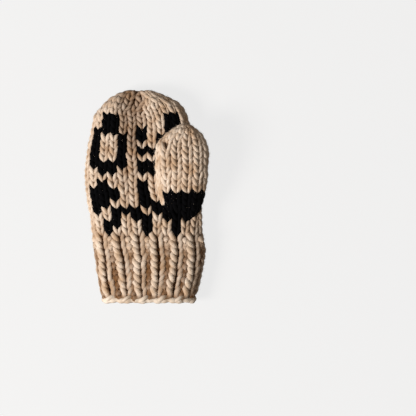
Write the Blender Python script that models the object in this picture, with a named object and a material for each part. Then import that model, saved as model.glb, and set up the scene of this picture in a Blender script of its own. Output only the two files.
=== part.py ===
"""A hand-knitted mitten lying flat, palm down: hand, thumb, ribbed cuff and cast-on edge.

The fingertips point along +Y, the thumb lies over the hand's +X side, and the mitten rests on z = 0.
Every piece is a knitted wall round a hollow, lofted through upright sections.
"""
from collections import namedtuple
from math import pi, radians, tan

import bmesh
import bpy
import numpy as np

# Driving sizes in metres
HAND_LENGTH = 0.164
HAND_WIDTH = 0.128
HAND_THICKNESS = 0.030
CUFF_LENGTH = 0.0638
CUFF_END_WIDTH = 0.1063
CUFF_END_SHIFT = 0.0013
CUFF_END_THICKNESS = 0.029
EDGE_DIAMETER = 0.0077
THUMB_LENGTH = 0.1125
THUMB_WIDTH = 0.0598
THUMB_THICKNESS = 0.025
THUMB_FROM_CENTRE = 0.0389
THUMB_ABOVE_WRIST = 0.0124
THUMB_ROLL = radians(-5)
WALL = 0.0065
RIB_COUNT = 13
RIB_DEPTH = 0.0030
RIB_FADE = 0.008
DENT_DEPTH = 0.0060
DENT_WIDTH = 0.024
DENT_LENGTH = 0.064
DENT_FROM_CENTRE = -0.0085
GAP = 0.0003

# How many points a section has, and into how many steps the loft divides each row of a table
HAND_POINTS = 44
THUMB_POINTS = 28
POINTS_PER_RIB = 6
EDGE_POINTS = 60
OUTER_STEPS = 2

# The form of a section: where its widest level lies in its height, how square its corners are, and how far
# the round underside would reach below the surface that flattens it, as a share of its height
WIDEST_LEVEL = 0.46
SQUARENESS = 2.6
FLATTENING = 0.10

OVERALL_LENGTH = HAND_LENGTH + CUFF_LENGTH + EDGE_DIAMETER
MOUTH_Y = -OVERALL_LENGTH / 2
CUFF_END_Y = MOUTH_Y + EDGE_DIAMETER
WRIST_Y = CUFF_END_Y + CUFF_LENGTH
THUMB_FOOT_Y = WRIST_Y + THUMB_ABOVE_WRIST

Section = namedtuple("Section", "y left right low high")

# along: share of HAND_LENGTH from the wrist. left, right: the edges, as shares of HAND_WIDTH from the centre.
# low, high: the underside and the top, as shares of HAND_THICKNESS.
HandRow = namedtuple("HandRow", "along left right low high")
HAND_ROWS = [
    HandRow(0.000, -0.476, 0.486, 0.00, 0.97),
    HandRow(0.070, -0.482, 0.480, 0.00, 0.99),
    HandRow(0.134, -0.489, 0.478, 0.00, 1.00),
    HandRow(0.241, -0.515, 0.474, 0.00, 1.00),
    HandRow(0.342, -0.534, 0.466, 0.00, 1.00),
    HandRow(0.443, -0.537, 0.450, 0.00, 1.00),
    HandRow(0.515, -0.529, 0.435, 0.00, 1.00),
    HandRow(0.597, -0.515, 0.415, 0.00, 1.00),
    HandRow(0.673, -0.497, 0.396, 0.00, 0.99),
    HandRow(0.751, -0.475, 0.376, 0.00, 0.98),
    HandRow(0.795, -0.464, 0.361, 0.00, 0.97),
    HandRow(0.845, -0.442, 0.340, 0.00, 0.95),
    HandRow(0.877, -0.409, 0.314, 0.00, 0.93),
    HandRow(0.912, -0.364, 0.271, 0.01, 0.90),
    HandRow(0.941, -0.319, 0.208, 0.03, 0.85),
    HandRow(0.973, -0.248, 0.112, 0.09, 0.76),
    HandRow(0.992, -0.175, 0.028, 0.18, 0.66),
    HandRow(1.000, -0.118, -0.018, 0.30, 0.52),
]

# along: share of THUMB_LENGTH from the thumb's foot, which is hidden in the hand. centre, width: shares of
# THUMB_WIDTH. seat: height of the underside, as a share of HAND_THICKNESS. thick: share of THUMB_THICKNESS.
ThumbRow = namedtuple("ThumbRow", "along centre width seat thick")
THUMB_ROWS = [
    ThumbRow(0.000, 0.000, 0.50, 0.24, 0.60),
    ThumbRow(0.124, -0.002, 0.67, 0.27, 0.88),
    ThumbRow(0.249, -0.008, 0.81, 0.31, 1.12),
    ThumbRow(0.373, -0.010, 0.91, 0.42, 1.22),
    ThumbRow(0.480, -0.005, 0.96, 0.60, 1.18),
    ThumbRow(0.587, 0.000, 0.98, 0.78, 1.08),
    ThumbRow(0.720, 0.000, 1.00, 0.87, 1.00),
    ThumbRow(0.800, -0.003, 0.94, 0.88, 0.98),
    ThumbRow(0.853, 0.012, 0.82, 0.89, 0.94),
    ThumbRow(0.898, 0.037, 0.68, 0.91, 0.87),
    ThumbRow(0.942, 0.050, 0.49, 0.94, 0.75),
    ThumbRow(0.978, 0.058, 0.30, 1.00, 0.54),
    ThumbRow(1.000, 0.063, 0.12, 1.10, 0.30),
]

# along: share of CUFF_LENGTH from the wrist. left, right, thin: how far each side, and the thickness, has
# gone from the wrist's size to the cuff end's.
CuffRow = namedtuple("CuffRow", "along left right thin")
CUFF_ROWS = [
    CuffRow(0.00, 0.00, 0.00, 0.0),
    CuffRow(0.21, 0.11, -0.29, 0.0),
    CuffRow(0.45, 0.37, -0.09, 0.2),
    CuffRow(0.74, 0.63, 0.45, 0.6),
    CuffRow(1.00, 1.00, 1.00, 1.0),
]

FINISHES = {
    "hand": ("oatmeal wool, stocking stitch", (0.58, 0.40, 0.25, 1.0), 0.92),
    "thumb": ("oatmeal wool, thumb", (0.62, 0.43, 0.28, 1.0), 0.92),
    "ribbed_cuff": ("oatmeal wool, ribbing", (0.55, 0.37, 0.23, 1.0), 0.92),
    "cast_on_edge": ("oatmeal wool, cast-on", (0.72, 0.55, 0.40, 1.0), 0.90),
}


def clear_scene():
    """Remove what the file holds, so that the mitten stands alone."""
    for old in list(bpy.data.objects):
        bpy.data.objects.remove(old, do_unlink=True)


def between(rows, steps):
    """The rows with steps - 1 more between each two, along a smooth curve through all their columns."""
    knots = np.array([tuple(row) for row in rows], dtype=float)
    padded = np.vstack([2 * knots[0] - knots[1], knots, 2 * knots[-1] - knots[-2]])
    points = []
    for before, start, end, after in zip(padded, padded[1:], padded[2:], padded[3:]):
        for step in range(steps):
            t = step / steps
            bend = 2 * before - 5 * start + 4 * end - after
            twist = 3 * (start - end) + after - before
            points.append(start + 0.5 * t * (end - before + t * (bend + t * twist)))
    points.append(knots[-1])
    return [type(rows[0])(*point) for point in points]


def power(value, exponent):
    """value to the exponent, keeping its sign."""
    return np.sign(value) * np.abs(value) ** exponent


def outline(section, inset, count, squash=True):
    """count points (x, z) evenly spaced round a section, drawn in by inset, from its +X edge over the top."""
    middle = (section.left + section.right) / 2
    half = (section.right - section.left) / 2 - inset
    level = section.low + WIDEST_LEVEL * (section.high - section.low)
    up = section.high - level - inset
    down = level - section.low - inset
    if squash:
        down += FLATTENING * (section.high - section.low)
    turn = np.linspace(0, 2 * pi, 721)
    x = middle + half * power(np.cos(turn), 2 / SQUARENESS)
    z = level + np.where(np.sin(turn) > 0, up, down) * power(np.sin(turn), 2 / SQUARENESS)
    z = np.maximum(z, section.low + inset)
    run = np.concatenate([[0], np.cumsum(np.hypot(np.diff(x), np.diff(z)))])
    stops = np.linspace(0, run[-1], count, endpoint=False)
    return np.column_stack([np.interp(stops, run, x), np.interp(stops, run, z)])


def hand_sections(steps):
    """The hand's sections from the wrist to the fingertips."""
    return [
        Section(
            WRIST_Y + row.along * HAND_LENGTH,
            row.left * HAND_WIDTH,
            row.right * HAND_WIDTH,
            row.low * HAND_THICKNESS,
            row.high * HAND_THICKNESS,
        )
        for row in between(HAND_ROWS, steps)
    ]


def thumb_sections(steps):
    """The thumb's sections from its hidden foot to its tip."""
    sections = []
    for row in between(THUMB_ROWS, steps):
        middle = THUMB_FROM_CENTRE + row.centre * THUMB_WIDTH
        half = row.width * THUMB_WIDTH / 2
        low = row.seat * HAND_THICKNESS
        high = low + row.thick * THUMB_THICKNESS
        y = THUMB_FOOT_Y + row.along * THUMB_LENGTH
        sections.append(Section(y, middle - half, middle + half, low, high))
    return sections


def cuff_sections(steps):
    """The cuff's sections from the wrist to its end, where the cast-on edge begins."""
    wrist = hand_sections(1)[0]
    end_left = CUFF_END_SHIFT - CUFF_END_WIDTH / 2
    end_right = CUFF_END_SHIFT + CUFF_END_WIDTH / 2
    length = CUFF_LENGTH - 2 * GAP
    return [
        Section(
            WRIST_Y - GAP - row.along * length,
            wrist.left + row.left * (end_left - wrist.left),
            wrist.right + row.right * (end_right - wrist.right),
            wrist.low,
            wrist.high + row.thin * (CUFF_END_THICKNESS - wrist.high),
        )
        for row in between(CUFF_ROWS, steps)
    ]


def dent(x, y):
    """How deep the valley that runs down from the fingertips is at a place on the hand's top."""
    from_tip = WRIST_Y + HAND_LENGTH - y
    fade = max(0.0, 1 - from_tip / DENT_LENGTH)
    across = np.exp(-(((x - DENT_FROM_CENTRE) / (DENT_WIDTH / 2)) ** 2))
    return DENT_DEPTH * fade ** 0.5 * across


def hand_ring(section, inset):
    """One closed ring of the hand, with the dent pressed into its upper side."""
    points = outline(section, inset, HAND_POINTS)
    x, z = points.T
    middle = (section.low + section.high) / 2
    height = (section.high - section.low) / 2
    upper = np.clip((z - middle) / height, 0, 1)
    depth = dent(x, section.y) * upper * height / (HAND_THICKNESS / 2)
    return [(px, section.y, pz) for px, pz in zip(x, z - depth)]


def thumb_ring(section, inset):
    """One closed ring of the thumb, rolled outwards over the hand's side."""
    middle = (section.left + section.right) / 2
    points = outline(section, inset, THUMB_POINTS, squash=False)
    return [(x, section.y, z + (x - middle) * tan(THUMB_ROLL)) for x, z in points]


def cuff_ring(section, inset):
    """One closed ring of the cuff, drawn in at the furrow between each two ribs."""
    count = RIB_COUNT * POINTS_PER_RIB
    points = outline(section, 0, count)
    along = np.roll(points, -1, axis=0) - np.roll(points, 1, axis=0)
    inward = np.column_stack([-along[:, 1], along[:, 0]])
    inward /= np.linalg.norm(inward, axis=1)[:, None]
    fade = min(1.0, (WRIST_Y - section.y) / RIB_FADE)
    phase = 2 * pi * RIB_COUNT * np.arange(count) / count
    furrow = RIB_DEPTH * fade * (1 - np.cos(phase)) / 2
    x, z = (points + inward * (inset + furrow)[:, None]).T
    return [(px, section.y, pz) for px, pz in zip(x, z)]


def hollow(sections, length, base_y):
    """The sections that are roomy enough to hold a hollow, drawn back by a wall's thickness at the tip."""
    reach = (length - WALL) / length
    roomy = [s for s in sections if s.right - s.left > 3 * WALL and s.high - s.low > 2.5 * WALL]
    return [s._replace(y=base_y + (s.y - base_y) * reach) for s in roomy]


def skin(name, rings, closed=False):
    """A mesh through the rings, capped at both ends, or joined end to end where closed."""
    bm = bmesh.new()
    loops = [[bm.verts.new(point) for point in ring] for ring in rings]
    pairs = list(zip(loops, loops[1:]))
    if closed:
        pairs.append((loops[-1], loops[0]))
    for first, second in pairs:
        for i in range(len(first)):
            bm.faces.new((first[i - 1], first[i], second[i], second[i - 1]))
    if not closed:
        bm.faces.new(loops[0])
        bm.faces.new(loops[-1])
    bmesh.ops.recalc_face_normals(bm, faces=bm.faces)
    mesh = bpy.data.meshes.new(name)
    bm.to_mesh(mesh)
    bm.free()
    return mesh


def place(name, data, collection):
    """An object in the collection that shows the mesh or curve."""
    thing = bpy.data.objects.new(name, data)
    collection.objects.link(thing)
    return thing


def cutter(name, mesh, collection):
    """A closed shape that only cuts others."""
    thing = place(name, mesh, collection)
    thing.display_type = "WIRE"
    thing.hide_render = True
    return thing


def cut(target, tool):
    """Take the tool's shape out of the target."""
    boolean = target.modifiers.new(f"cut by {tool.name}", "BOOLEAN")
    boolean.operation = "DIFFERENCE"
    boolean.solver = "EXACT"
    boolean.object = tool


def dress(thing):
    """Give the piece its own wool, and smooth shading with sharp rims."""
    title, colour, roughness = FINISHES[thing.name]
    material = bpy.data.materials.new(title)
    material.use_nodes = True
    shader = material.node_tree.nodes["Principled BSDF"]
    shader.inputs["Base Color"].default_value = colour
    shader.inputs["Roughness"].default_value = roughness
    shader.inputs["Metallic"].default_value = 0.0
    thing.data.materials.append(material)
    if thing.type == "MESH":
        thing.data.shade_smooth()
        thing.data.set_sharp_from_angle(angle=radians(50))


def thumb_volume(inset):
    """The thumb's rings, outside for an inset of 0, or round its hollow."""
    if inset:
        sections = hollow(thumb_sections(1), THUMB_LENGTH, THUMB_FOOT_Y)
    else:
        sections = thumb_sections(OUTER_STEPS)
    return [thumb_ring(section, inset) for section in sections]


def build_hand(parts, cutters):
    """The hand: a wall from the fingertips down to the wrist and back up round the hollow."""
    outside = [hand_ring(s, 0) for s in reversed(hand_sections(OUTER_STEPS))]
    inside = [hand_ring(s, WALL) for s in hollow(hand_sections(1), HAND_LENGTH, WRIST_Y)]
    hand = place("hand", skin("hand", outside + inside), parts)
    way_in = cutter("thumb_hollow", skin("thumb_hollow", thumb_volume(WALL)), cutters)
    cut(hand, way_in)
    return hand


def build_thumb(parts, cutters):
    """The thumb: its wall where it stands clear of the hand, open at the foot into the hand."""
    thumb = place("thumb", skin("thumb", thumb_volume(0)), parts)
    cut(thumb, bpy.data.objects["thumb_hollow"])
    clearance = [hand_ring(s, -GAP) for s in hand_sections(OUTER_STEPS)]
    cut(thumb, cutter("hand_clearance", skin("hand_clearance", clearance), cutters))
    return thumb


def build_cuff(parts):
    """The cuff: ribs and furrows outside and in, open at both ends."""
    sections = cuff_sections(OUTER_STEPS)
    outside = [cuff_ring(s, 0) for s in sections]
    inside = [cuff_ring(s, WALL) for s in reversed(cuff_sections(1))]
    return place("ribbed_cuff", skin("ribbed_cuff", outside + inside, closed=True), parts)


def build_edge(parts):
    """The cast-on edge: a round cord of yarn along the cuff's end, on the middle of the wall."""
    radius = EDGE_DIAMETER / 2
    end = cuff_sections(1)[-1]
    curve = bpy.data.curves.new("cast_on_edge", "CURVE")
    curve.dimensions = "3D"
    curve.bevel_depth = radius - GAP
    curve.bevel_resolution = 2
    spline = curve.splines.new("POLY")
    spline.points.add(EDGE_POINTS - 1)
    spline.use_cyclic_u = True
    for point, (x, z) in zip(spline.points, outline(end, radius, EDGE_POINTS)):
        point.co = (x, MOUTH_Y + radius - GAP, z, 1)
    return place("cast_on_edge", curve, parts)


def main():
    """Build the mitten."""
    clear_scene()
    parts = bpy.data.collections.new("mitten")
    cutters = bpy.data.collections.new("mitten cutters")
    for collection in (parts, cutters):
        bpy.context.scene.collection.children.link(collection)
    pieces = [
        build_hand(parts, cutters),
        build_thumb(parts, cutters),
        build_cuff(parts),
        build_edge(parts),
    ]
    for piece in pieces:
        dress(piece)


main()
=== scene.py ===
"""A hand-knitted mitten lying flat, built stitch by stitch from loops of chunky wool.

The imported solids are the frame. The wool of each knitted tube just reaches its solid's outside: stocking
stitch with a charted figure on the hand, stocking stitch on the thumb, knit-one purl-one ribbing on the
cuff, and a band of yarn with a second one wound round it along the cast-on edge. Loose fibres stand off
all of it. Metres, +Z up, fingertips towards +Y.
"""

import logging
from dataclasses import dataclass, field
from enum import Enum
from functools import partial
from math import pi, radians, tan
from typing import Callable, NamedTuple

import bmesh
import bpy
import numpy as np
from mathutils import Matrix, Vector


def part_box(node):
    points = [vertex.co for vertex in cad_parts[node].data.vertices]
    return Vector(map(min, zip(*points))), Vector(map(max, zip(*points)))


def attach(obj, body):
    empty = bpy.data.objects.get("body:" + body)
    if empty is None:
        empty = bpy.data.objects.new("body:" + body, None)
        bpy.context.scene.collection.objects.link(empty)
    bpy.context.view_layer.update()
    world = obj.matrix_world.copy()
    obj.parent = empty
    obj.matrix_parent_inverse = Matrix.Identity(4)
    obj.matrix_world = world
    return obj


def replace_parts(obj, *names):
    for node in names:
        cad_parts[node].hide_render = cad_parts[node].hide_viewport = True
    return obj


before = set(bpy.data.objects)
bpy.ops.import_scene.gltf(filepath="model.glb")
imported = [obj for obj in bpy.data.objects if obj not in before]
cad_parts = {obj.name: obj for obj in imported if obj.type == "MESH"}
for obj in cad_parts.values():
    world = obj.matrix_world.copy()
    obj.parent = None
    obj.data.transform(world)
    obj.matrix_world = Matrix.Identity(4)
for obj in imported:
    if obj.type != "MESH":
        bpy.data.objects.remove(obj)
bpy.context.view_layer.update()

log = logging.getLogger("mitten")
SEED = 11
SLICE_STEPS = 10


class Wool(Enum):
    """The yarns, each named by the material slot that it takes its finish from."""

    NATURAL = "natural_wool"
    BLACK = "black_wool"
    CAST_ON = "cast_on_wool"


class Stitch(Enum):
    """Which way a loop faces, seen from outside the mitten."""

    KNIT = 1
    PURL = -1


class Section(NamedTuple):
    """One upright slice of a tube: where it is, its two sides, its underside and its top."""

    y: float
    left: float
    right: float
    low: float
    high: float


class HandRow(NamedTuple):
    """A slice of the hand in shares of its length, width and thickness, from the wrist to the fingertips."""

    along: float
    left: float
    right: float
    low: float
    high: float


class ThumbRow(NamedTuple):
    """A slice of the thumb in shares of its length, width and thickness, and its seat over the floor."""

    along: float
    centre: float
    width: float
    seat: float
    thick: float


class CuffRow(NamedTuple):
    """A slice of the cuff: how far each side and the thickness have gone from wrist size to end size."""

    along: float
    left: float
    right: float
    thin: float


class ChartColumn(NamedTuple):
    """A column of the chart, counted from the thumb's side, and the spans of rounds knitted in black."""

    column: int
    spans: tuple


HAND_ROWS = [
    HandRow(0.000, -0.476, 0.486, 0.00, 0.97),
    HandRow(0.070, -0.482, 0.480, 0.00, 0.99),
    HandRow(0.134, -0.489, 0.478, 0.00, 1.00),
    HandRow(0.241, -0.515, 0.474, 0.00, 1.00),
    HandRow(0.342, -0.534, 0.466, 0.00, 1.00),
    HandRow(0.443, -0.537, 0.450, 0.00, 1.00),
    HandRow(0.515, -0.529, 0.435, 0.00, 1.00),
    HandRow(0.597, -0.515, 0.415, 0.00, 1.00),
    HandRow(0.673, -0.497, 0.396, 0.00, 0.99),
    HandRow(0.751, -0.475, 0.376, 0.00, 0.98),
    HandRow(0.795, -0.464, 0.361, 0.00, 0.97),
    HandRow(0.845, -0.442, 0.340, 0.00, 0.95),
    HandRow(0.877, -0.409, 0.314, 0.00, 0.93),
    HandRow(0.912, -0.364, 0.271, 0.01, 0.90),
    HandRow(0.941, -0.319, 0.208, 0.03, 0.85),
    HandRow(0.973, -0.248, 0.112, 0.09, 0.76),
    HandRow(0.992, -0.175, 0.028, 0.18, 0.66),
    HandRow(1.000, -0.118, -0.018, 0.30, 0.52),
]

THUMB_ROWS = [
    ThumbRow(0.000, 0.000, 0.50, 0.24, 0.60),
    ThumbRow(0.124, -0.002, 0.67, 0.27, 0.88),
    ThumbRow(0.249, -0.008, 0.81, 0.31, 1.12),
    ThumbRow(0.373, -0.010, 0.91, 0.42, 1.22),
    ThumbRow(0.480, -0.005, 0.96, 0.60, 1.18),
    ThumbRow(0.587, 0.000, 0.98, 0.78, 1.08),
    ThumbRow(0.720, 0.000, 1.00, 0.87, 1.00),
    ThumbRow(0.800, -0.003, 0.94, 0.88, 0.98),
    ThumbRow(0.853, 0.012, 0.82, 0.89, 0.94),
    ThumbRow(0.898, 0.037, 0.68, 0.91, 0.87),
    ThumbRow(0.942, 0.050, 0.49, 0.94, 0.75),
    ThumbRow(0.978, 0.058, 0.30, 1.00, 0.54),
    ThumbRow(1.000, 0.063, 0.12, 1.10, 0.30),
]

CUFF_ROWS = [
    CuffRow(0.00, 0.00, 0.00, 0.0),
    CuffRow(0.21, 0.11, -0.29, 0.0),
    CuffRow(0.45, 0.37, -0.09, 0.2),
    CuffRow(0.74, 0.63, 0.45, 0.6),
    CuffRow(1.00, 1.00, 1.00, 1.0),
    CuffRow(1.08, 1.05, 1.05, 1.0),
]

# The figure on the hand's upper side, as charted: two rings with a striped stem between them, and
# below them shapes that zigzag down to points.
FIGURE = [
    ChartColumn(0, ((4, 5),)),
    ChartColumn(1, ((4, 5),)),
    ChartColumn(2, ((2, 5), (15, 17))),
    ChartColumn(3, ((0, 6), (15, 17))),
    ChartColumn(4, ((2, 5), (10, 14))),
    ChartColumn(5, ((3, 4), (9, 10), (12, 12))),
    ChartColumn(6, ((0, 2), (4, 7), (9, 10), (12, 12), (14, 15))),
    ChartColumn(7, ((2, 3),)),
    ChartColumn(8, ((3, 3), (10, 14))),
    ChartColumn(9, ((1, 3), (5, 6), (9, 10), (15, 17))),
    ChartColumn(10, ((0, 1), (4, 7), (9, 10), (15, 17))),
    ChartColumn(11, ((3, 6), (10, 15))),
]


def linear(hex_colour: str) -> tuple:
    """Turn an sRGB hex colour into linear light.

    Args:
        hex_colour: six hex digits after a hash sign.

    Returns:
        Red, green, blue and an alpha of 1.
    """
    shares = [int(hex_colour[i:i + 2], 16) / 255 for i in (1, 3, 5)]
    light = [c / 12.92 if c <= 0.04045 else ((c + 0.055) / 1.055) ** 2.4 for c in shares]
    return (*light, 1.0)


def add_node(
    tree: bpy.types.NodeTree, kind: str, settings: dict, values: dict, links: dict
) -> bpy.types.Node:
    """Add a node with its settings, its sockets' own values and its links.

    Args:
        tree: the material's or world's node tree.
        kind: Blender's name for the node.
        settings: attributes of the node.
        values: input sockets and the values set on them.
        links: input sockets and the output sockets that feed them.

    Returns:
        The new node.
    """
    node = tree.nodes.new(kind)
    for name, value in settings.items():
        setattr(node, name, value)
    for socket, value in values.items():
        node.inputs[socket].default_value = value
    for socket, source in links.items():
        tree.links.new(source, node.inputs[socket])
    return node


@dataclass(frozen=True)
class WoolFinish:
    """Roving wool, spun loosely into one thick ply: matte, streaked along the yarn, with a bloom of fibres.

    Colours are sRGB hex: the fibres in full light, the body of the yarn, its duller lengths, and the deep
    colour of painted shade where it lies deep in the knit. A fibre of about 0.03 mm is too fine to show, so
    the streaks are bundles of them, 0.7 mm wide and 11 mm long. The dull lengths are about 14 mm long, as
    uneven carding leaves them.
    """

    title: str
    pale: str
    body: str
    dull: str
    deep: str
    sheen: float
    specular: float = 0.15
    streak_width: float = 0.0007
    streak_length: float = 0.011
    twist: float = radians(14)
    mottle: float = 0.014
    relief: float = 0.0004

    def material(self) -> bpy.types.Material:
        """Make the wool's material, or find it where it is made already.

        Returns:
            A material that reads the yarn's UV map, in centimetres along and round the yarn.
        """
        if self.title in bpy.data.materials:
            return bpy.data.materials[self.title]
        made = bpy.data.materials.new(self.title)
        made.use_nodes = True
        tree = made.node_tree
        shader = tree.nodes["Principled BSDF"]
        for socket, value in {
            "Metallic": 0.0,
            "Roughness": 0.93,
            "IOR": 1.54,
            "Specular IOR Level": self.specular,
            "Sheen Weight": self.sheen,
            "Sheen Roughness": 0.55,
            "Sheen Tint": linear(self.pale),
        }.items():
            shader.inputs[socket].default_value = value
        place = add_node(tree, "ShaderNodeTexCoord", {}, {}, {})
        # Fibres lie along the yarn in bundles, with the lazy turn of its single ply
        along = add_node(
            tree, "ShaderNodeMapping", {},
            {
                "Rotation": (0, 0, self.twist),
                "Scale": (0.01 / self.streak_length, 0.01 / self.streak_width, 1),
            },
            {"Vector": place.outputs["UV"]},
        )
        streaks = add_node(
            tree, "ShaderNodeTexNoise", {}, {"Scale": 1.0, "Detail": 4.0, "Roughness": 0.6},
            {"Vector": along.outputs["Vector"]},
        )
        patches = add_node(
            tree, "ShaderNodeTexNoise", {}, {"Scale": 1 / self.mottle, "Detail": 2.0, "Roughness": 0.5},
            {"Vector": place.outputs["Object"]},
        )
        shade = add_node(
            tree, "ShaderNodeMapRange", {}, {"From Min": 0.32, "From Max": 0.68},
            {"Value": streaks.outputs["Fac"]},
        )
        cloud = add_node(
            tree, "ShaderNodeMapRange", {}, {"From Min": 0.36, "From Max": 0.68, "To Max": 0.8},
            {"Value": patches.outputs["Fac"]},
        )
        fibres = add_node(
            tree, "ShaderNodeMix", {"data_type": "RGBA"}, {"A": linear(self.body), "B": linear(self.pale)},
            {"Factor": shade.outputs["Result"]},
        )
        spun = add_node(
            tree, "ShaderNodeMix", {"data_type": "RGBA"}, {"B": linear(self.dull)},
            {"Factor": cloud.outputs["Result"], "A": fibres.outputs["Result"]},
        )
        # Painted shade: the depth attribute mixes the deep colour in where the yarn lies deep in the knit
        depth = add_node(tree, "ShaderNodeAttribute", {"attribute_name": "depth"}, {}, {})
        shaded_colour = add_node(
            tree, "ShaderNodeMix", {"data_type": "RGBA"}, {"B": linear(self.deep)},
            {"Factor": depth.outputs["Fac"], "A": spun.outputs["Result"]},
        )
        bump = add_node(
            tree, "ShaderNodeBump", {}, {"Strength": 0.7, "Distance": self.relief},
            {"Height": streaks.outputs["Fac"]},
        )
        tree.links.new(shaded_colour.outputs["Result"], shader.inputs["Base Color"])
        tree.links.new(bump.outputs["Normal"], shader.inputs["Normal"])
        return made


FINISHES = {
    # Undyed, it looks a warm oatmeal: pale where the fibres catch the light, and brown between the stitches,
    # where painted shade darkens it
    Wool.NATURAL: WoolFinish(
        "wool roving, undyed oatmeal, hand-knitted",
        pale="#F4E8DE", body="#D5BCA0", dull="#B99775", deep="#6E4A28", sheen=0.20,
    ),
    # Dyed, it looks a soft, even black with no shine, in which single loops hardly show
    Wool.BLACK: WoolFinish(
        "wool roving, dyed black, hand-knitted",
        pale="#08080B", body="#030304", dull="#040406", deep="#010102", sheen=0.0, specular=0.05,
    ),
    # A paler copy of the undyed wool for the cast-on: painted light where it lies clear of the ribs and takes
    # more light, and a paler deep colour, so little painted shade
    Wool.CAST_ON: WoolFinish(
        "wool roving, undyed oatmeal, cast on",
        pale="#F5EADE", body="#E2D2C0", dull="#CDB59B", deep="#8A6444", sheen=0.20,
    ),
}


def between(rows: list, steps: int) -> list:
    """Put steps - 1 more rows between each two, on a smooth curve through all their columns.

    Args:
        rows: rows of one table.
        steps: how many steps each gap between two rows gets.

    Returns:
        The longer table.
    """
    knots = np.array([tuple(row) for row in rows], dtype=float)
    padded = np.vstack([2 * knots[0] - knots[1], knots, 2 * knots[-1] - knots[-2]])
    points = []
    for before, start, end, after in zip(padded, padded[1:], padded[2:], padded[3:]):
        for step in range(steps):
            t = step / steps
            bend = 2 * before - 5 * start + 4 * end - after
            spring = 3 * (start - end) + after - before
            points.append(start + 0.5 * t * (end - before + t * (bend + t * spring)))
    points.append(knots[-1])
    return [type(rows[0])(*point) for point in points]


def power(value: np.ndarray, exponent: float) -> np.ndarray:
    """Raise the values to the exponent, keeping their signs."""
    return np.sign(value) * np.abs(value) ** exponent


@dataclass
class Form:
    """The outside of a knitted tube, as the solids have it: slices with rounded corners, laid flat."""

    sections: list
    flattening: float
    roll: float = 0.0
    dent: Callable | None = None
    meridians: int = 312
    outline_steps: int = 1440
    squareness: float = 2.6
    widest_level: float = 0.46

    def ring(self, section: Section) -> np.ndarray:
        """Find points evenly spaced round a slice, from its +X edge over the top.

        Args:
            section: the slice.

        Returns:
            An array of points.
        """
        middle = (section.left + section.right) / 2
        height = section.high - section.low
        level = section.low + self.widest_level * height
        down = level - section.low + self.flattening * height
        turn = np.linspace(0, 2 * pi, self.outline_steps + 1)
        x = middle + (section.right - section.left) / 2 * power(np.cos(turn), 2 / self.squareness)
        rise = np.where(np.sin(turn) > 0, section.high - level, down)
        z = np.maximum(level + rise * power(np.sin(turn), 2 / self.squareness), section.low)
        run = np.concatenate([[0], np.cumsum(np.hypot(np.diff(x), np.diff(z)))])
        stops = np.linspace(0, run[-1], self.meridians, endpoint=False)
        x, z = np.interp(stops, run, x), np.interp(stops, run, z)
        if self.dent:
            upper = np.clip((z - section.low - height / 2) / (height / 2), 0, 1)
            z = z - self.dent(x, section.y, height) * upper
        z = z + (x - middle) * tan(self.roll)
        return np.column_stack([x, np.full(self.meridians, section.y), z])

    def rings(self) -> np.ndarray:
        """Find the points of all slices, as an array of slices by meridians by coordinates."""
        return np.array([self.ring(section) for section in self.sections])

    def holds(self, points: np.ndarray, margin: float) -> np.ndarray:
        """Tell which points lie inside, by more than a margin.

        Args:
            points: an array of points.
            margin: how far inside a point must be.

        Returns:
            True for each point that does.
        """
        table = np.array(sorted(self.sections))
        x, y, z = points.T
        left, right, low, high = (np.interp(y, table[:, 0], table[:, i]) for i in range(1, 5))
        middle = (left + right) / 2
        z = z - (x - middle) * tan(self.roll)
        level = low + self.widest_level * (high - low)
        half = np.maximum((right - left) / 2 - margin, 1e-5)
        up = np.maximum(high - level - margin, 1e-5)
        down = np.maximum(level - low - margin + self.flattening * (high - low), 1e-5)
        reach = np.abs((x - middle) / half) ** self.squareness
        reach += np.abs((z - level) / np.where(z > level, up, down)) ** self.squareness
        within = (y > table[0, 0] + margin) & (y < table[-1, 0] - margin)
        return (reach < 1) & (z > low + margin) & within


class Skin:
    """The outside of a tube laid out in stitches: a share of the way round, and a number of rounds up."""

    STEP = 0.04

    def __init__(self, rings: np.ndarray, rows: np.ndarray) -> None:
        """Lay out the surface.

        Args:
            rings: points, slices by meridians by coordinates.
            rows: the round's number at each of those points.
        """
        self.first = rows[0].max()
        levels = np.arange(self.first, rows[-1].min(), self.STEP)
        columns = range(rings.shape[1])
        grid = [[np.interp(levels, rows[:, i], rings[:, i, axis]) for axis in range(3)] for i in columns]
        self.grid = np.array(grid).transpose(2, 0, 1)
        up = np.gradient(self.grid, axis=0)
        across = np.roll(self.grid, -1, axis=1) - np.roll(self.grid, 1, axis=1)
        normals = np.cross(up, across)
        self.normals = normals / np.linalg.norm(normals, axis=2)[:, :, None]

    def at(self, share: np.ndarray, row: np.ndarray) -> tuple:
        """Find places on the surface.

        Args:
            share: how far round, from the +X edge over the top, 0 to 1.
            row: the number of rounds up.

        Returns:
            The points, and the surface's outward directions there.
        """
        count = self.grid.shape[1]
        level = np.clip((row - self.first) / self.STEP, 0, len(self.grid) - 1.001)
        low = level.astype(int)
        up = (level - low)[:, None]
        place = np.mod(share, 1) * count
        left = place.astype(int)
        side = (place - left)[:, None]
        left = np.mod(left, count)
        right = np.mod(left + 1, count)
        found = []
        for table in (self.grid, self.normals):
            below = table[low, left] * (1 - side) + table[low, right] * side
            above = table[low + 1, left] * (1 - side) + table[low + 1, right] * side
            found.append(below * (1 - up) + above * up)
        return found[0], found[1] / np.linalg.norm(found[1], axis=1)[:, None]


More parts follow.
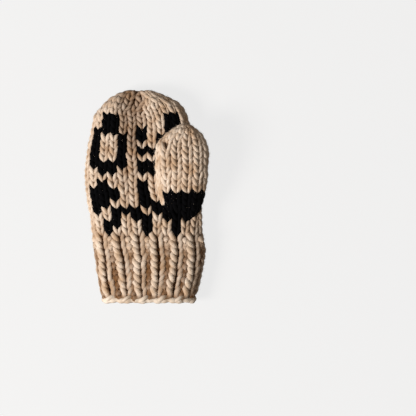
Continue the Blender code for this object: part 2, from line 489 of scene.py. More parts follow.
def number_rows(rings: np.ndarray, level: Callable, turn_in: float, last: float) -> np.ndarray:
    """Number the rounds over a tube: level at first, and from some round evenly up each meridian to the tip.

    Args:
        rings: points, slices by meridians by coordinates.
        level: gives the round's number at a Y where rounds are level.
        turn_in: the round from which they bend over the rounded tip.
        last: the round's number at the tip.

    Returns:
        The round's number at each point.
    """
    straight = level(rings[:, 0, 1])
    run = np.linalg.norm(np.diff(rings, axis=0), axis=2).cumsum(axis=0)
    run = np.vstack([np.zeros(rings.shape[1]), run])
    rows = np.repeat(straight[:, None], rings.shape[1], axis=1)
    start = np.array([np.interp(turn_in, straight, run[:, i]) for i in range(rings.shape[1])])
    bent = turn_in + (run - start) / (run[-1] - start) * (last - turn_in)
    return np.where(rows > turn_in, bent, rows)


@dataclass
class Strand:
    """A length of yarn: its middle line, which way is out, half its width and depth along it, and how far
    its middle lies under the fabric's outside, plus painted shade added to that as extra depth."""

    points: np.ndarray
    outward: np.ndarray
    wide: np.ndarray
    deep: np.ndarray
    sunk: np.ndarray
    closed: bool

    SIDES = 10
    # Painted shade: yarn less than LIT_DEPTH under the outside keeps its colour, and by DARK_DEPTH it has the
    # deep colour
    LIT_DEPTH = 0.0011
    DARK_DEPTH = 0.0047
    END_REACH = 1.0
    SHOULDER_REACH = 0.75
    SHOULDER_WIDTH = 0.66

    def tube(self) -> tuple:
        """Work out where the rings round the yarn lie.

        Returns:
            Rings by sides + 1 by coordinates, the UV of each place in centimetres, and its share of painted
            shade from its depth in the knit.
        """
        points, outward, wide, deep, sunk = self.points, self.outward, self.wide, self.deep, self.sunk
        if self.closed:
            tangent = np.roll(points, -1, axis=0) - np.roll(points, 1, axis=0)
            again = [0]
        else:
            tangent = np.gradient(points, axis=0)
            again = []
        tangent /= np.linalg.norm(tangent, axis=1)[:, None]
        if not self.closed:
            # Round both ends off to a point, so that the yarn is a closed shape
            far, near, narrow = self.END_REACH, self.SHOULDER_REACH, self.SHOULDER_WIDTH
            ends = [(0, -far), (0, -near), (-1, near), (-1, far)]
            extra = [points[i] + tangent[i] * step * deep[i] for i, step in ends]
            points = np.vstack([extra[:2], points, extra[2:]])
            wide, deep = (
                np.concatenate([[0.0, half[0] * narrow], half, [half[-1] * narrow, 0.0]])
                for half in (wide, deep)
            )
            pad = [0, 0, *range(len(outward)), len(outward) - 1, len(outward) - 1]
            outward, tangent, sunk = outward[pad], tangent[pad], sunk[pad]
        side = np.cross(outward, tangent)
        side /= np.linalg.norm(side, axis=1)[:, None]
        up = np.cross(tangent, side)
        turn = np.linspace(0, 2 * pi, self.SIDES + 1) - pi / 2
        ring = (
            points[:, None, :]
            + side[:, None, :] * (wide[:, None] * np.cos(turn))[:, :, None]
            + up[:, None, :] * (deep[:, None] * np.sin(turn))[:, :, None]
        )
        ring[:, -1] = ring[:, 0]
        run = np.concatenate([[0], np.linalg.norm(np.diff(points, axis=0), axis=1).cumsum()])
        order = [*range(len(ring)), *again]
        if self.closed:
            run = np.append(run, run[-1] + np.linalg.norm(points[0] - points[-1]))
        round_yarn = np.linspace(0, 2 * pi, self.SIDES + 1) * wide.mean()
        uv = np.stack(np.meshgrid(run, round_yarn, indexing="ij"), axis=2) * 100
        # Painted shade in the hollows of the knit: the deeper under the outside, the more of the deep colour
        under = sunk[:, None] - deep[:, None] * np.sin(turn)
        shade = np.clip((under - self.LIT_DEPTH) / (self.DARK_DEPTH - self.LIT_DEPTH), 0, 1)
        return ring[order], uv, shade[order]


def wind(name: str, strands: list, wool: Wool) -> bpy.types.Object:
    """Make one piece of a set of yarns: a grid rolled up round each of them.

    Args:
        name: the piece's name.
        strands: the yarns.
        wool: which wool they are.

    Returns:
        The piece.
    """
    bm = bmesh.new()
    bm.loops.layers.uv.new("UVMap")
    places, maps, shades = [], [], []
    for strand in strands:
        rings, uv, shade = strand.tube()
        bmesh.ops.create_grid(
            bm, x_segments=Strand.SIDES, y_segments=len(rings) - 1, size=0.5, calc_uvs=True
        )
        places.append(rings.reshape(-1, 3))
        maps.append(uv.reshape(-1, 2))
        shades.append(shade.ravel())
    places, maps, shades = np.vstack(places), np.vstack(maps), np.concatenate(shades)
    mesh = bpy.data.meshes.new(name)
    bm.to_mesh(mesh)
    bm.free()
    mesh.vertices.foreach_set("co", places.ravel())
    corners = np.zeros(len(mesh.loops), dtype=np.int32)
    mesh.loops.foreach_get("vertex_index", corners)
    mesh.uv_layers[0].data.foreach_set("uv", maps[corners].ravel())
    # The depth attribute carries each place's share of painted shade
    mesh.attributes.new("depth", "FLOAT", "POINT").data.foreach_set("value", shades)
    bm = bmesh.new()
    bm.from_mesh(mesh)
    bpy.data.meshes.remove(mesh)
    bmesh.ops.remove_doubles(bm, verts=bm.verts, dist=2e-6)
    return finish_piece(name, bm, wool)


def finish_piece(name: str, bm: bmesh.types.BMesh, wool: Wool) -> bpy.types.Object:
    """Turn a finished bmesh into a piece of the mitten.

    Args:
        name: the piece's name.
        bm: its shape, freed here.
        wool: which wool it is.

    Returns:
        The piece, riding on the mitten's one body.
    """
    bmesh.ops.recalc_face_normals(bm, faces=bm.faces)
    mesh = bpy.data.meshes.new(name)
    bm.to_mesh(mesh)
    bm.free()
    mesh.shade_smooth()
    mesh.materials.append(FINISHES[wool].material())
    piece = bpy.data.objects.new(name, mesh)
    bpy.context.scene.collection.objects.link(piece)
    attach(piece, "root")
    log.info("%s: %d triangles", name, sum(len(face.vertices) - 2 for face in mesh.polygons))
    return piece


@dataclass(frozen=True)
class Loop:
    """The course of the yarn through one stitch. Shares are of a stitch's width or a round's height."""

    sway: float = 0.25
    lean: float = 0.05
    reach: float = 1.10
    nesting: float = 0.30
    depth: float = 0.0021
    ahead: float = 0.0001
    wide: float = 0.0024
    deep: float = 0.0022
    left_fuller: float = 0.06
    waist: float = 0.26
    samples: int = 22

    def bury(self) -> float:
        """How far under the outside the middle of the fabric lies."""
        return self.depth + self.deep


RIB_LOOP = Loop(
    sway=0.19, lean=0.05, reach=1.06, nesting=0.22, ahead=0.0005, wide=0.0030, left_fuller=0.07, waist=-0.22
)


class Course(NamedTuple):
    """One round of stitches: its number, and where stitches and the borders between them stand on the way
    round, at this round, the one below and the one above."""

    row: int
    here: np.ndarray
    below: np.ndarray
    above: np.ndarray
    kinds: list
    lifts: np.ndarray


def even_courses(counts: dict) -> dict:
    """Spread each round's stitches evenly, so that every column runs on through the decreases.

    Args:
        counts: how many stitches each round has, by round, never more than the one below.

    Returns:
        For each round, its columns' places on the way round, by column number.
    """
    rows = sorted(counts)
    start = counts[rows[0]]
    spots = {rows[0]: {k: (k + 0.5) / start for k in range(start)}}
    for before, row in zip(rows, rows[1:]):
        kept = list(spots[before])
        while len(kept) > counts[row]:
            lost = counts[before] - counts[row]
            stops = [round((i + 0.5 + 0.25 * (row % 2)) * len(kept) / lost) % len(kept) for i in range(lost)]
            kept = [column for i, column in enumerate(kept) if i not in stops]
        old = np.array([spots[before][k] for k in kept])
        offset = np.mean(old * len(kept) - np.arange(len(kept)))
        spots[row] = {k: (i + offset) / len(kept) for i, k in enumerate(kept)}
    return spots


def with_borders(centres: np.ndarray, knit_share: float, kinds: list) -> np.ndarray:
    """Add the borders between neighbouring stitches to their centres.

    Args:
        centres: the stitches' places on the way round, in order.
        knit_share: the share of the room between a knit and a purl stitch that the knit one takes.
        kinds: the stitches' kinds.

    Returns:
        Places at half-stitch steps from half a stitch before the first to half a stitch after the last.
    """
    following = np.append(centres[1:], centres[0] + 1)
    share = []
    for kind, after in zip(kinds, kinds[1:] + kinds[:1]):
        share.append(0.5 if kind is after else knit_share if kind is Stitch.KNIT else 1 - knit_share)
    borders = centres + (following - centres) * np.array(share)
    places = np.column_stack([centres, borders]).ravel()
    return np.concatenate([[borders[-1] - 1], places])


@dataclass
class KnittedTube:
    """A tube of loops: its surface, its stitches' form and columns, and the wool of each stitch."""

    skin: Skin
    loop: Loop
    spots: dict
    wool_of: Callable
    kind_of: Callable
    hidden: Callable
    drift: Callable
    shade: Callable
    plumper: dict = field(default_factory=lambda: {Wool.BLACK: 1.14})
    rib_fall: float = 0.0
    knit_share: float = 0.5
    purl_plump: float = 1.42
    purl_rise: float = 0.3
    purl_bump: float = 0.4
    # Painted shade in the furrows between ribs, as a depth
    purl_shade: float = 0.0020
    welt: float = 0.0015
    welt_rows: int = 2
    # The share of the furrows' painted shade in the cuff's top round, and how much it grows each round down
    first_furrow_shade_share: float = 0.25
    furrow_shade_step: float = 0.35
    slip_across: float = 0.06
    slip_up: float = 0.065
    slip_out: float = 0.00035
    looseness: float = 0.075
    unevenness: float = 0.06
    knots_per_stitch: int = 4
    random: np.random.Generator = field(default_factory=lambda: np.random.default_rng(SEED))

    def course(self, row: int) -> Course:
        """Gather one round.

        Args:
            row: its number.

        Returns:
            Where its stitches stand and what they are.
        """
        columns = list(self.spots[row])
        kinds = [self.kind_of(row, column) for column in columns]
        here = np.array([self.spots[row][k] for k in columns])
        levels = []
        for other in (row - 1, row + 1):
            spots = self.spots.get(other, self.spots[row])
            names, values = np.array(list(spots)), np.array(list(spots.values()))
            levels.append(np.array([values[np.abs(names - k).argmin()] for k in columns]))
        # The purl bumps of the first rounds under the hand stand up, and the furrows start below them
        fall = self.rib_fall - self.welt * max(0, row + 1 + self.welt_rows) / self.welt_rows
        lifts = np.array([0.0 if kind is Stitch.KNIT else -fall for kind in kinds])
        if len(set(kinds)) == 1:
            lifts = np.zeros(len(kinds))
        below, above = levels
        return Course(
            row,
            with_borders(here, self.knit_share, kinds),
            with_borders(below, self.knit_share, kinds),
            with_borders(above, self.knit_share, kinds),
            kinds,
            lifts,
        )

    def lay(self, course: Course, start: int, count: int, closed: bool, wool: Wool) -> Strand:
        """Run the yarn through some stitches of a round.

        Args:
            course: the round.
            start: the first stitch.
            count: how many stitches.
            closed: whether they go all the way round.
            wool: which wool the yarn is.

        Returns:
            The yarn.
        """
        loop = self.loop
        total = len(course.kinds)
        t = np.tile(np.linspace(-pi, pi, loop.samples, endpoint=False), count)
        index = np.repeat(np.arange(start, start + count), loop.samples)
        if not closed:
            t, index = np.append(t, pi), np.append(index, start + count - 1)
        stitch = index % total
        knit = np.array([kind.value for kind in course.kinds])[stitch]
        nodes = np.arange(2 * total + 1) / 2 - 0.5
        tau = stitch + t / (2 * pi)
        wraps = index // total

        rise = loop.reach * np.where(knit > 0, np.cos(t), self.purl_rise * (1 + np.cos(t)) - 1)
        levels = (course.here, course.below, course.above)
        here, below, above = (np.interp(tau, nodes, places) for places in levels)
        share = here + np.clip(rise, 0, 1) * (above - here) + np.clip(-rise, 0, 1) * (below - here)
        width = np.interp(tau, nodes[:-1] + 0.25, np.diff(course.here)) * 2
        share = share + self.drift(share + wraps, course.row + rise)
        share = share + width * (loop.sway * np.sin(2 * t) + loop.lean * np.cos(t) * (knit > 0)) + wraps

        same = np.array([a is b for a, b in zip(course.kinds, course.kinds[1:] + course.kinds[:1])])
        before, after = np.roll(same, 1)[stitch], same[stitch]
        turned = np.where(t < 0, ~before, ~after) & (np.abs(t) > 3 * pi / 4)
        bow = loop.depth * np.where(knit > 0, -1.0, self.purl_bump) * np.cos(2 * t)
        out = np.where(turned, 0.0, bow) + loop.ahead * np.sin(t) * (knit > 0)
        own = course.lifts[stitch]
        neighbour = np.where(t < 0, np.roll(course.lifts, 1)[stitch], np.roll(course.lifts, -1)[stitch])
        ease = np.clip((np.abs(t) - pi / 2) / (pi / 2), 0, 1) ** 2
        lift = own + (neighbour - own) * ease / 2

        # Each stitch is a little out of place and a little slack or tight, at its top and not at its feet
        loose = self.random.normal(size=(4, total))[:, stitch] * (1 + np.cos(t)) / 2
        share = share + width * self.slip_across * loose[0]
        row = course.row + 0.5 + loop.nesting + rise + self.slip_up * loose[1]
        points, normals = self.skin.at(share, row)
        out = out + lift + self.slip_out * loose[2]
        # How deep the yarn lies under the outside, plus painted shade given as extra depth
        sunk = loop.bury() - out + self.shade(points, normals)
        # Painted shade darkens the furrows between ribs and the yarn on its way down into them, less of it in
        # the cuff's top rounds next to the hand
        beside = np.where(t < 0, ~before, ~after) * ease
        furrow_shade_share = min(1.0, self.first_furrow_shade_share - self.furrow_shade_step * (course.row + 1))
        sunk = sunk + furrow_shade_share * self.purl_shade * np.where(knit < 0, 1.0, beside)
        points = points + normals * (out - loop.bury())[:, None]
        plump = (1 - loop.waist * np.cos(t) ** 2) * (1 + loop.left_fuller * np.sin(t) * (knit > 0))
        # The roving is spun unevenly, thicker and thinner every few millimetres
        finest = self.knots_per_stitch
        knots = self.random.normal(size=finest * total + 1)
        knots[-1] = knots[0]
        uneven = np.interp(np.mod(tau + 0.5, total) * finest, np.arange(len(knots)), knots)
        plump = plump * (1 + self.looseness * loose[3] + self.unevenness * uneven)
        plump = plump * self.plumper.get(wool, 1.0)
        plump = plump * np.where(knit < 0, self.purl_plump, 1.0)
        return Strand(points, normals, loop.wide * plump, loop.deep * plump, sunk, closed)

    def strands(self, rows: range) -> dict:
        """Run the yarns through a range of rounds.

        Args:
            rows: the rounds' numbers.

        Returns:
            The yarns by wool.
        """
        made = {wool: [] for wool in Wool}
        for row in rows:
            course = self.course(row)
            total = len(course.kinds)
            columns = list(self.spots[row])
            middles, outward = self.skin.at(course.here[1::2], np.full(total, row + 0.5))
            gone = self.hidden(middles - outward * self.loop.bury())
            wools = [None if gone[i] else self.wool_of(row, column) for i, column in enumerate(columns)]
            if len(set(wools)) == 1:
                if wools[0]:
                    made[wools[0]].append(self.lay(course, 0, total, True, wools[0]))
                continue
            first = next(i for i in range(total) if wools[i] is not wools[i - 1])
            i = first
            while i < first + total:
                wool = wools[i % total]
                end = i
                while end < first + total and wools[end % total] is wool:
                    end += 1
                if wool:
                    made[wool].append(self.lay(course, i, end - i, False, wool))
                i = end
        return made


def charted(row: int, column: int) -> Wool:
    """Look a stitch up in the figure's chart.

    Args:
        row: the round's number.
        column: the stitch's column.

    Returns:
        The wool that it is knitted in.
    """
    for entry in FIGURE:
        if entry.column == column and any(low <= row <= high for low, high in entry.spans):
            return Wool.BLACK
    return Wool.NATURAL


def plain(row: int, column: int) -> Stitch:
    """Knit every stitch, for stocking stitch."""
    return Stitch.KNIT


def ribbed(row: int, column: int) -> Stitch:
    """Knit every other column and purl the rest, for ribbing."""
    return Stitch.KNIT if column % 2 else Stitch.PURL


def undyed(row: int, column: int) -> Wool:
    """Knit every stitch in the natural wool."""
    return Wool.NATURAL


def nowhere(points: np.ndarray) -> np.ndarray:
    """Leave no stitch out."""
    return np.zeros(len(points), dtype=bool)


@dataclass
class Body:
    """The hand and the cuff under it, knitted as one tube from the cast-on edge up.

    The painted shades over the hand and cuff and in the crease are depths: the wool is painted darker as if
    it lay that much deeper in the knit. The painted shade of the valley is a share of the valley's own depth.
    """

    width: float = 0.128
    cuff_end_width: float = 0.1063
    cuff_end_shift: float = 0.0013
    cuff_end_thickness: float = 0.029
    flattening: float = 0.10
    closing_scales: tuple = (0.6, 0.25)
    dent_depth: float = 0.0090
    dent_length: float = 0.064
    dent_softness: float = 0.003
    dent_sides: tuple = (-0.0365, -0.031, -0.0244, -0.0156, -0.009, -0.0055, 0.0, 0.0065)
    dent_shares: tuple = (0.0, 0.28, 0.68, 0.93, 1.0, 0.80, 0.25, 0.0)
    # Painted shade over the hand and cuff, as a depth
    overall_shade: float = 0.0009
    # Painted light: less of that painted shade in a corner near the fingertips beside the valley, where more
    # light falls
    painted_light_share: float = 0.65
    painted_light_corner: tuple = (0.002, 0.062)
    painted_light_fade: float = 0.012
    # Painted shade in the valley, as a share of its depth, and in the crease that runs on from it, as a depth
    valley_shade: float = 0.08
    crease_shade: float = 0.0013
    crease_length: float = 0.15
    crease_fade: float = 0.09
    crease_shares: tuple = (0.0, 0.50, 0.90, 1.0, 0.80, 0.50, 0.05, 0.0)
    lowest_shaded: float = -0.2
    first_tip: float = 0.0029
    row_height: float = 0.00726
    cuff_rows: int = 9
    upper_from: int = 11
    round_from: float = 17.0
    tip_row: float = 24.2
    decreases: dict = field(default_factory=lambda: {18: 25, 19: 22, 20: 19, 21: 15, 22: 10})
    columns: int = 26
    pull: float = 0.37
    pull_place: float = 0.12
    pull_spread: float = 0.13
    pull_rows: int = 3
    rib_splay: float = 0.45
    splay_place: float = 0.40
    splay_spread: float = 0.14
    waves: tuple = ((0.05, 41.0, 0.6), (0.04, 23.0, -0.37))
    thumb_margin: float = 0.004
    furrow_depth: float = 0.0012
    knit_share: float = 0.88

    def __post_init__(self) -> None:
        """Take the lengths from the solids' boxes, and shape the tube."""
        low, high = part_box("hand")
        self.wrist, self.tip = low.y, high.y
        self.length, self.thickness = high.y - low.y, high.z - low.z
        self.cuff_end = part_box("ribbed_cuff")[0].y
        hand = [
            Section(
                self.wrist + row.along * self.length, row.left * self.width, row.right * self.width,
                row.low * self.thickness, row.high * self.thickness,
            )
            for row in between(HAND_ROWS, SLICE_STEPS)
        ]
        foot = hand[0]
        end_left = self.cuff_end_shift - self.cuff_end_width / 2
        end_right = self.cuff_end_shift + self.cuff_end_width / 2
        cuff = [
            Section(
                self.wrist - row.along * (self.wrist - self.cuff_end),
                foot.left + row.left * (end_left - foot.left),
                foot.right + row.right * (end_right - foot.right),
                foot.low, foot.high + row.thin * (self.cuff_end_thickness - foot.high),
            )
            for row in between(CUFF_ROWS, SLICE_STEPS)[1:]
        ]
        self.form = Form(cuff[::-1] + hand, self.flattening, dent=self.dent)
        rings = self.form.rings()
        centre = rings[-1].mean(axis=0)
        closing = [centre + (rings[-1] - centre) * scale for scale in self.closing_scales]
        rings = np.concatenate([rings, np.array(closing)])
        self.skin = Skin(rings, number_rows(rings, self.level, self.round_from, self.tip_row))

    def dent(self, x: np.ndarray, y: float, height: float) -> np.ndarray:
        """Say how deep the valley that runs down from the fingertips is.

        Args:
            x: places across the hand.
            y: the slice.
            height: the slice's height.

        Returns:
            The depth at each place.
        """
        fade = np.clip(1 - (self.tip - y) / self.dent_length, 0, 1)
        spread = np.linspace(-self.dent_softness, self.dent_softness, 7)
        shares = [np.interp(x + step, self.dent_sides, self.dent_shares) for step in spread]
        return self.dent_depth * fade ** 0.5 * np.mean(shares, axis=0) * height / self.thickness

    def shade(self, points: np.ndarray, outward: np.ndarray) -> np.ndarray:
        """Say how much painted shade darkens the wool: over the hand and cuff, in the valley and in the
        crease that runs on from it.

        Args:
            points: places on the surface.
            outward: the surface's outward directions there.

        Returns:
            How much deeper in the knit each place looks.
        """
        x, y = points[:, 0], points[:, 1]
        crease = np.interp(x, self.dent_sides, self.crease_shares)
        crease = crease * np.clip((self.crease_length - self.tip + y) / self.crease_fade, 0, 1)
        shade = self.valley_shade * self.dent(x, y, self.thickness) + self.crease_shade * crease
        # Beside the valley, near the fingertips on the thumb's side, the overall painted shade is less:
        # painted light where more light falls
        painted_light = np.ones(len(points))
        for place, corner in zip((x, y), self.painted_light_corner):
            painted_light *= np.clip((place - corner) / self.painted_light_fade, 0, 1)
        overall = self.overall_shade * (1 - self.painted_light_share * painted_light)
        return overall + shade * (outward[:, 2] > self.lowest_shaded)

    def level(self, y: np.ndarray) -> np.ndarray:
        """Number the rounds by their Y, with round 0 the hand's first.

        Args:
            y: places along the mitten.

        Returns:
            The round's number at each place.
        """
        start = self.wrist + self.first_tip
        cuff_height = (start - self.cuff_end) / self.cuff_rows
        return np.where(y > start, (y - start) / self.row_height, (y - start) / cuff_height)

    def drift(self, share: np.ndarray, row: np.ndarray) -> np.ndarray:
        """Lean the hand's columns towards the thumb, most of all beside its foot.

        Args:
            share: places on the way round.
            row: rounds up.

        Returns:
            How far each place moves on the way round.
        """
        begun = np.clip((row + 1) / self.pull_rows, 0, 1)
        side = np.mod(share + 0.5, 1) - 0.5
        pull = self.pull * np.exp(-(((side - self.pull_place) / self.pull_spread) ** 2))
        wander = sum(size * np.sin(across * share + up * row) for size, across, up in self.waves)
        # The ribs on the left lean towards the thumb from the cuff's end up, and the others hardly do
        splay = self.rib_splay * np.exp(-(((side - self.splay_place) / self.splay_spread) ** 2))
        splay = splay * np.clip(-row / self.cuff_rows, 0, 1)
        return (wander - pull * begun - splay) / self.columns

    def spots(self) -> dict:
        """Say where each round's stitches stand on the way round."""
        even = range(-self.cuff_rows, min(self.decreases))
        return even_courses({row: self.columns for row in even} | self.decreases)

    def knit_hand(self, thumb_form: Form) -> dict:
        """Knit the hand in stocking stitch, with the figure in black.

        Args:
            thumb_form: the thumb's outside. No stitch is knitted inside it.

        Returns:
            The yarns by wool.
        """
        tube = KnittedTube(
            self.skin, Loop(), self.spots(), wool_of=charted, kind_of=plain,
            hidden=partial(thumb_form.holds, margin=self.thumb_margin), drift=self.drift, shade=self.shade,
        )
        lower = tube.strands(range(0, self.upper_from))
        upper = tube.strands(range(self.upper_from, max(self.decreases) + 1))
        pieces = [
            wind("hand_lower_rounds", lower[Wool.NATURAL], Wool.NATURAL),
            wind("hand_upper_rounds", upper[Wool.NATURAL], Wool.NATURAL),
            wind("figure", lower[Wool.BLACK] + upper[Wool.BLACK], Wool.BLACK),
        ]
        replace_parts(pieces[0], "hand")
        return {wool: lower[wool] + upper[wool] for wool in Wool}

    def knit_cuff(self) -> list:
        """Knit the cuff in ribbing.

        Returns:
            Its yarns.
        """
        tube = KnittedTube(
            self.skin, RIB_LOOP, self.spots(), wool_of=undyed, kind_of=ribbed, hidden=nowhere,
            drift=self.drift, shade=self.shade, rib_fall=self.furrow_depth, knit_share=self.knit_share,
        )
        yarns = tube.strands(range(-self.cuff_rows, 0))[Wool.NATURAL]
        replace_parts(wind("cuff_ribbing", yarns, Wool.NATURAL), "ribbed_cuff")
        return yarns


@dataclass
class Thumb:
    """The knitted thumb that lies over the hand's side."""

    width: float = 0.0598
    thickness: float = 0.025
    length: float = 0.1125
    from_centre: float = 0.0389
    above_wrist: float = 0.0124
    roll: float = radians(-5)
    closing_scale: float = 0.4
    columns: int = 12
    last_counts: tuple = (8, 6)
    first_row: int = 3
    rows_in_hand: int = 2
    first_tip: float = -0.0260
    row_height: float = 0.0077
    round_from: float = 12.0
    past_last: float = 0.6
    black_rows: range = range(3, 7)
    short_black_rows: range = range(3, 5)
    short_black_columns: range = range(5, 10)
    notch_place: tuple = (0.0213, 0.0560)
    notch_size: tuple = (0.0020, 0.0045)
    notch_depth: float = 0.0050
    # Painted shade in the small gap, as a share of its depth
    notch_shade: float = 0.5
    wave: tuple = (0.05, 17.0, 0.7)
    hand_margin: float = 0.003

    def __post_init__(self) -> None:
        """Shape the tube over the solids."""
        low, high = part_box("hand")
        rise = high.z - low.z
        foot = low.y + self.above_wrist
        sections = []
        for row in between(THUMB_ROWS, SLICE_STEPS):
            middle = self.from_centre + row.centre * self.width
            half = row.width * self.width / 2
            base = row.seat * rise
            sections.append(Section(
                foot + row.along * self.length, middle - half, middle + half,
                base, base + row.thick * self.thickness,
            ))
        self.form = Form(sections, 0.0, roll=self.roll, dent=self.notch)
        rings = self.form.rings()
        centre = rings[-1].mean(axis=0)
        rings = np.concatenate([rings, [centre + (rings[-1] - centre) * self.closing_scale]])
        top = rings[:, rings.shape[1] // 4]
        run = np.concatenate([[0], np.linalg.norm(np.diff(top, axis=0), axis=1).cumsum()])
        start = np.interp(self.first_tip, top[:, 1], run)
        numbers = self.first_row + (run - start) / self.row_height
        self.last_row = round(float(numbers[-1]))
        slices = np.array([section.y for section in sections] + [sections[-1].y])
        level = partial(np.interp, xp=slices, fp=numbers)
        rows = number_rows(rings, level, self.round_from, self.last_row + self.past_last)
        self.skin = Skin(rings, rows)

    def spots(self) -> dict:
        """Say where each round's stitches stand on the way round.

        Returns:
            For each round, its columns' places by column number.
        """
        first = self.first_row - self.rows_in_hand
        counts = {row: self.columns for row in range(first, self.last_row - 1)}
        counts |= dict(zip((self.last_row - 1, self.last_row), self.last_counts))
        return even_courses(counts)

    def notch(self, x: np.ndarray, y: np.ndarray, height: float) -> np.ndarray:
        """Say how far the small gap between two columns, near the thumb's tip, sinks in.

        Args:
            x: places across the thumb.
            y: places along it.
            height: the slice's height, on which the gap doesn't depend.

        Returns:
            The depth at each place.
        """
        across = (x - self.notch_place[0]) / self.notch_size[0]
        along = (y - self.notch_place[1]) / self.notch_size[1]
        return self.notch_depth * np.exp(-(across ** 2) - along ** 2)

    def shade(self, points: np.ndarray, outward: np.ndarray) -> np.ndarray:
        """Paint shade on the wool in the small gap, by a share of the gap's depth."""
        sunk = self.notch(points[:, 0], points[:, 1], 0)
        return self.notch_shade * sunk * (outward[:, 2] > 0)

    def drift(self, share: np.ndarray, row: np.ndarray) -> np.ndarray:
        """Let the columns wander a little."""
        size, across, up = self.wave
        return size * np.sin(across * share + up * row) / self.columns

    def wool_of(self, row: int, column: int) -> Wool:
        """Knit the band at the thumb's foot in black, lower at the columns beside the hand."""
        rows = self.short_black_rows if column in self.short_black_columns else self.black_rows
        return Wool.BLACK if row in rows else Wool.NATURAL

    def knit(self, hand_form: Form) -> dict:
        """Knit the thumb in stocking stitch.

        Args:
            hand_form: the hand's outside. No stitch is knitted inside it.

        Returns:
            The yarns by wool.
        """
        tube = KnittedTube(
            self.skin, Loop(), self.spots(), wool_of=self.wool_of, kind_of=plain,
            hidden=partial(hand_form.holds, margin=self.hand_margin), drift=self.drift, shade=self.shade,
        )
        yarns = tube.strands(range(self.first_row - self.rows_in_hand, self.last_row + 1))
        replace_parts(wind("thumb_rounds", yarns[Wool.NATURAL], Wool.NATURAL), "thumb")
        wind("thumb_band", yarns[Wool.BLACK], Wool.BLACK)
        return yarns


@dataclass
class CastOnEdge:
    """The cast-on along the cuff's end: a pale band of yarn with a second yarn wound round it."""

    band_radius: float = 0.0033
    band_drop: float = 0.0004
    band_sway: float = 0.0003
    # Painted light: the band gets this much less painted shade than its depth gives
    band_less_shade: float = 0.0008
    band_lumps: float = 0.10
    band_waves: tuple = ((1.0, 1.0, 1.0), (0.6, 2.37, 0.0))
    wound_radius: float = 0.0026
    wound_rate: float = 0.71
    lay_radius: float = 0.0023
    lay_rise: float = 0.0012
    lay_length: float = 0.0191
    drawn_in: float = 0.0012
    steps: int = 720

    def strands(self, body: Body) -> list:
        """Run both yarns along the cuff's end.

        Args:
            body: the knitted tube that they end.

        Returns:
            The band's yarn and the one round it.
        """
        low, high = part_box("cast_on_edge")
        radius = (high.y - low.y) / 2
        share = np.arange(self.steps) / self.steps
        line, outward = body.skin.at(share, np.full(self.steps, float(-body.cuff_rows)))
        line = line - outward * (radius + self.drawn_in)
        line[:, 1] = (low.y + high.y) / 2
        outward[:, 1] = 0
        outward /= np.linalg.norm(outward, axis=1)[:, None]
        run = np.linalg.norm(np.roll(line, -1, axis=0) - line, axis=1)
        turn = 2 * pi * round(run.sum() / self.lay_length) * run.cumsum() / run.sum()
        forward = np.array([0.0, 1.0, 0.0])
        away = outward * np.cos(turn)[:, None] - forward * np.sin(turn)[:, None]
        bend = sum(size * np.sin(rate * turn + phase) for size, rate, phase in self.band_waves)
        band = self.band_radius * (1 + self.band_lumps * bend)
        wound = self.wound_radius * (1 + self.band_lumps * np.sin(self.wound_rate * turn))
        sunk = np.full(self.steps, radius)
        band_line = line - forward * (self.band_drop + self.band_sway * bend[:, None])
        wound_line = line + forward * self.lay_rise + away * self.lay_radius
        return [
            # Less painted shade on the band than its depth gives, so that it looks paler
            Strand(band_line, outward, band, band, sunk - self.band_less_shade, True),
            Strand(wound_line, outward, wound, wound, sunk, True),
        ]

    def build(self, body: Body) -> None:
        """Wind both yarns as one piece, in the solid's place."""
        edge = wind("cast_on_cord", self.strands(body), Wool.CAST_ON)
        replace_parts(edge, "cast_on_edge")


@dataclass
class Bloom:
    """The loose fibres that stand off the yarn: thin closed spikes with their roots in it.

    Real fibres are about 0.03 mm thick. These are drawn several times as thick, so that they show.
    """

    shortest: float = 0.0008
    longest: float = 0.0030
    thickness: float = 0.00009
    slant: float = 1.7
    least_rise: float = 0.15
    rooting: float = 1.6
    clear_of_floor: float = 0.0065

    def build(self, name: str, strands: list, doublings: int, wool: Wool) -> None:
        """Grow the fibres from places all over the yarns that lie at the outside, as one piece.

        Args:
            name: the piece's name.
            strands: the yarns that they grow from.
            doublings: how many times one fibre is doubled to make them all.
            wool: which wool they are.
        """
        bm = bmesh.new()
        bmesh.ops.create_cone(
            bm, cap_ends=True, segments=3, radius1=1, radius2=0, depth=1,
            matrix=Matrix.Translation((0, 0, 0.5)),
        )
        bmesh.ops.remove_doubles(bm, verts=bm.verts, dist=1e-4)
        cone = np.array([vert.co for vert in bm.verts])
        corner, fibre = (bm.verts.layers.int.new(title) for title in ("corner", "fibre"))
        for i, vert in enumerate(bm.verts):
            vert[corner] = i
        for step in range(doublings):
            doubled = bmesh.ops.duplicate(bm, geom=[*bm.verts, *bm.edges, *bm.faces])
            for vert in doubled["geom"]:
                if isinstance(vert, bmesh.types.BMVert):
                    vert[fibre] += 2 ** step
        count = 2 ** doublings
        random = np.random.default_rng(SEED)
        root, outward, deep, sunk = (
            np.concatenate([getattr(yarn, part) for yarn in strands])
            for part in ("points", "outward", "deep", "sunk")
        )
        showing = (sunk < self.rooting * deep) & (root[:, 2] > self.clear_of_floor)
        chosen = random.choice(np.flatnonzero(showing), size=count)
        root, outward, deep = root[chosen], outward[chosen], deep[chosen]
        aim = random.normal(size=(count, 3)) * self.slant
        rise = (aim * outward).sum(axis=1)
        aim += outward * (1 + np.abs(rise) - rise + self.least_rise)[:, None]
        aim /= np.linalg.norm(aim, axis=1)[:, None]
        side = np.cross(aim, random.normal(size=(count, 3)))
        side /= np.linalg.norm(side, axis=1)[:, None]
        length = (deep + random.uniform(self.shortest, self.longest, count))[:, None, None]
        spread = side[:, None] * cone[None, :, :1] + np.cross(aim, side)[:, None] * cone[None, :, 1:2]
        places = root[:, None] + spread * self.thickness + aim[:, None] * cone[None, :, 2:] * length
        for vert in bm.verts:
            vert.co = places[vert[fibre], vert[corner]]
        finish_piece(name, bm, wool)


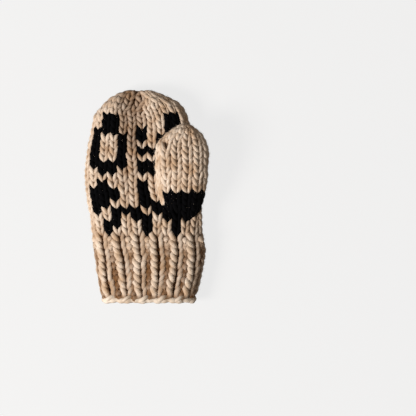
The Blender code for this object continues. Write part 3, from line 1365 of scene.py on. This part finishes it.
@dataclass
class Studio:
    """The pale floor, the soft light from the left and the camera straight overhead."""

    pixel: float = 0.0011
    picture: float = 416.0
    centre: tuple = (0.0673, -0.0134)
    sensor: float = 36.0
    camera_height: float = 2.4
    camera_reach: float = 20.0
    subject_height: float = 0.02
    floor_size: float = 6.0
    floor_colour: str = "#F3F3F3"
    floor_reflects: float = 0.12
    floor_glows: float = 0.88
    key_place: tuple = (-1.9, -0.7, 1.6)
    key_size: float = 1.0
    key_power: float = 85.0
    key_colour: str = "#FFFAF4"
    sky: float = 0.19
    sky_colour: str = "#F5E8D8"

    def floor(self) -> None:
        """Lay the floor: a pale sweep that is lit from within, so that only a faint shadow falls on it."""
        bm = bmesh.new()
        bmesh.ops.create_grid(bm, x_segments=1, y_segments=1, size=self.floor_size / 2)
        mesh = bpy.data.meshes.new("floor")
        bm.to_mesh(mesh)
        bm.free()
        made = bpy.data.materials.new("matte paper sweep")
        made.use_nodes = True
        shader = made.node_tree.nodes["Principled BSDF"]
        pale = linear(self.floor_colour)
        for socket, value in {
            "Base Color": (*(self.floor_reflects * c for c in pale[:3]), 1.0),
            "Roughness": 1.0,
            "Specular IOR Level": 0.0,
            "Emission Color": pale,
            "Emission Strength": self.floor_glows,
        }.items():
            shader.inputs[socket].default_value = value
        mesh.materials.append(made)
        floor = bpy.data.objects.new("floor", mesh)
        bpy.context.scene.collection.objects.link(floor)
        floor.visible_diffuse = False

    def lights(self) -> None:
        """Hang the key light at the left and light the sky evenly."""
        lamp = bpy.data.lights.new("key", "AREA")
        lamp.shape = "SQUARE"
        lamp.size = self.key_size
        lamp.energy = self.key_power
        lamp.color = linear(self.key_colour)[:3]
        key = bpy.data.objects.new("key", lamp)
        key.location = self.key_place
        key.rotation_euler = (-key.location).to_track_quat("-Z", "Y").to_euler()
        bpy.context.scene.collection.objects.link(key)
        world = bpy.data.worlds.new("soft daylight")
        world.use_nodes = True
        back = world.node_tree.nodes["Background"]
        back.inputs["Color"].default_value = linear(self.sky_colour)
        back.inputs["Strength"].default_value = self.sky
        bpy.context.scene.world = world

    def camera(self) -> None:
        """Set the camera straight above the middle of the photograph's frame."""
        data = bpy.data.cameras.new("overhead")
        data.sensor_width = self.sensor
        distance = self.camera_height - self.subject_height
        data.lens = data.sensor_width * distance / (self.pixel * self.picture)
        data.clip_end = self.camera_reach
        camera = bpy.data.objects.new("overhead", data)
        camera.location = (*self.centre, self.camera_height)
        bpy.context.scene.collection.objects.link(camera)
        bpy.context.scene.camera = camera
        bpy.context.scene.view_settings.view_transform = "Standard"

    def build(self) -> None:
        """Set up the whole studio."""
        self.floor()
        self.lights()
        self.camera()


def main() -> None:
    """Knit the mitten piece by piece, grow the fibres on its yarn, and light it."""
    logging.basicConfig(level=logging.INFO, format="%(name)s: %(message)s")
    body, thumb = Body(), Thumb()
    hand_yarns = body.knit_hand(thumb.form)
    thumb_yarns = thumb.knit(body.form)
    cuff_yarns = body.knit_cuff()
    CastOnEdge().build(body)
    natural = hand_yarns[Wool.NATURAL] + thumb_yarns[Wool.NATURAL] + cuff_yarns
    black = hand_yarns[Wool.BLACK] + thumb_yarns[Wool.BLACK]
    Bloom().build("wool_bloom", natural, 14, Wool.NATURAL)
    Bloom().build("black_wool_bloom", black, 11, Wool.BLACK)
    # A few pale fibres have strayed onto the black yarn
    Bloom(longest=0.0050, thickness=0.00006).build("stray_fibres", black, 7, Wool.NATURAL)
    Studio().build()


if __name__ == "__main__":
    main()
